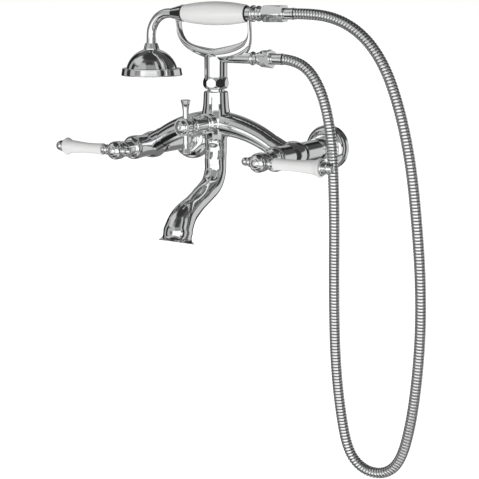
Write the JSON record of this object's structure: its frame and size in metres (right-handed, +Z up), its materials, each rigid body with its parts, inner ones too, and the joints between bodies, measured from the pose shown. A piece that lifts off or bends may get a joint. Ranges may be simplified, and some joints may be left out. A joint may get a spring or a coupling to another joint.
{
  "type": "wall mounted bath faucet",
  "caption": "Wall mounted bath faucet with white lever handles, a curved spout, a small diverter handle and a hand shower resting in a forked cradle on a metal hose.",
  "frame": {"origin": "on the wall's face, midway between the two water inlets, at the height of their axes", "axes": "+X to the right as seen from the front, +Y into the wall, +Z up"},
  "size_m": [0.4155, 0.1969, 0.4804],
  "materials": {
    "chrome": "polished chrome plate",
    "brass": "machined",
    "ceramic": "white glazed ceramic",
    "steel": "turned",
    "steel_hose": "ringed metal hose",
    "rubber": "matt black",
    "plastic": "moulded"
  },
  "bodies": {
    "faucet": {"wall_flange_right": "chrome", "coupling_nut_right": "chrome", "valve_body_right": "chrome", "bonnet_right": "chrome", "inlet_shank_right": "chrome", "cartridge_right": "brass", "wall_flange_left": "chrome", "coupling_nut_left": "chrome", "valve_body_left": "chrome", "bonnet_left": "chrome", "inlet_shank_left": "chrome", "cartridge_left": "brass", "union_seals": "rubber", "stem_seals": "rubber", "diverter_seal": "rubber", "spout_seal": "rubber", "riser_seal": "rubber", "lower_hose_washer": "rubber", "faucet_body": "chrome", "diverter_housing": "chrome", "spout": "chrome", "riser_nut": "chrome", "cradle": "chrome", "hose_outlet": "chrome", "lower_hose_nut": "chrome", "lower_hose_ferrule": "chrome", "spout_insert": "plastic", "check_valve": "plastic", "hose": "steel_hose"},
    "right_lever": {"valve_stem_right": "brass", "lever_hub_right": "chrome", "lever_button_right": "chrome", "lever_collar_right": "chrome", "lever_rod_right": "steel", "lever_grip_right": "ceramic", "lever_cap_right": "chrome"},
    "left_lever": {"valve_stem_left": "brass", "lever_hub_left": "chrome", "lever_button_left": "chrome", "lever_collar_left": "chrome", "lever_rod_left": "steel", "lever_grip_left": "ceramic", "lever_cap_left": "chrome"},
    "diverter": {"diverter_spool": "brass", "diverter_handle": "chrome", "diverter_cap": "chrome"},
    "handset": {"handset_tail": "chrome", "grip_core": "brass", "handset_grip": "ceramic", "grip_seals": "rubber", "grip_ferrule": "chrome", "gooseneck": "chrome", "head_collar": "chrome", "head_dome": "chrome", "head_rim": "chrome", "spray_plate": "plastic", "upper_hose_nut": "chrome", "upper_hose_ferrule": "chrome", "upper_hose_washer": "rubber"}
  },
  "joints": [
    {"name": "right_lever_turn", "type": "hinge", "parent": "faucet", "child": "right_lever", "pos_m": [0.0889, -0.1443, 0], "axis": [0, 1, 0], "range_deg": [0, 90]},
    {"name": "left_lever_turn", "type": "hinge", "parent": "faucet", "child": "left_lever", "pos_m": [-0.0889, -0.1443, 0], "axis": [0, -1, 0], "range_deg": [0, 90]},
    {"name": "diverter_turn", "type": "hinge", "parent": "faucet", "child": "diverter", "pos_m": [0, -0.1425, 0.0298], "axis": [0, 1, 0], "range_deg": [0, 90]},
    {"name": "handset_lift", "type": "slide", "parent": "faucet", "child": "handset", "axis": [0, 0, 1], "range_m": [0, 0.04], "deforming": ["hose"]}
  ]
}
